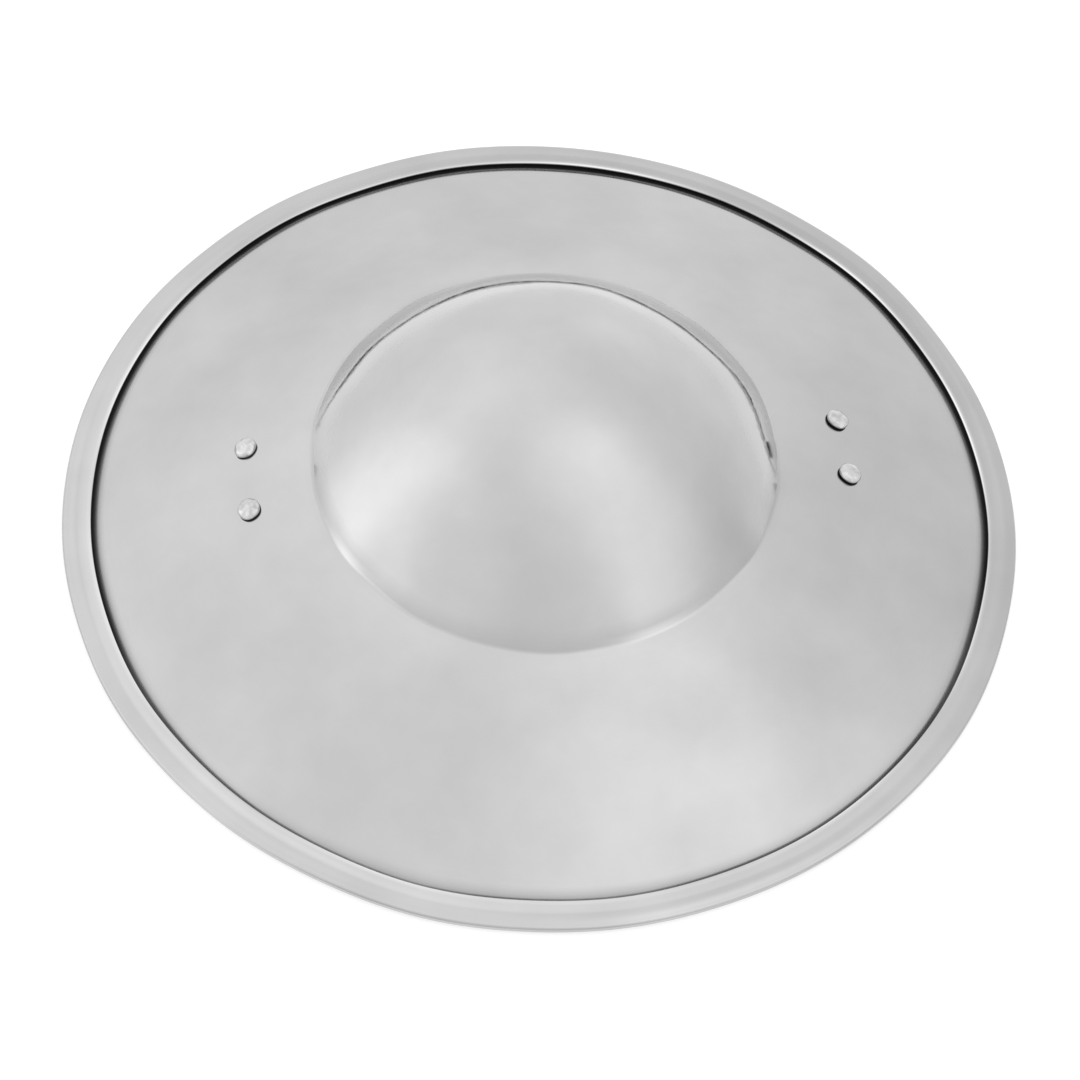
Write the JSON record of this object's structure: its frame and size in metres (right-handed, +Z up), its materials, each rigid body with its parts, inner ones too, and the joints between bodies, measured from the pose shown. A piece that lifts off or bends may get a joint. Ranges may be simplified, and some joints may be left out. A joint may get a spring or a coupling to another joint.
{
  "type": "buckler shield",
  "caption": "Small round dished steel hand shield with a domed boss, a hemmed rim and a riveted grip across the hollow behind the boss.",
  "frame": {"origin": "centre of the rim's underside, on the ground the shield lies on", "axes": "+Z up along the shield's axis, through the top of the boss; X along the grip; Y across it"},
  "size_m": [0.34, 0.34, 0.076],
  "materials": {
    "plate_steel": "polished sheet steel, satin bright, with faint planishing",
    "grip_steel": "plain forged steel, left duller than the plate",
    "rivet_steel": "bright domed heads"
  },
  "bodies": {
    "root": {"shield_plate": "plate_steel", "grip": "grip_steel", "rivet_left_front": "rivet_steel", "rivet_left_back": "rivet_steel", "rivet_right_front": "rivet_steel", "rivet_right_back": "rivet_steel"}
  },
  "joints": []
}
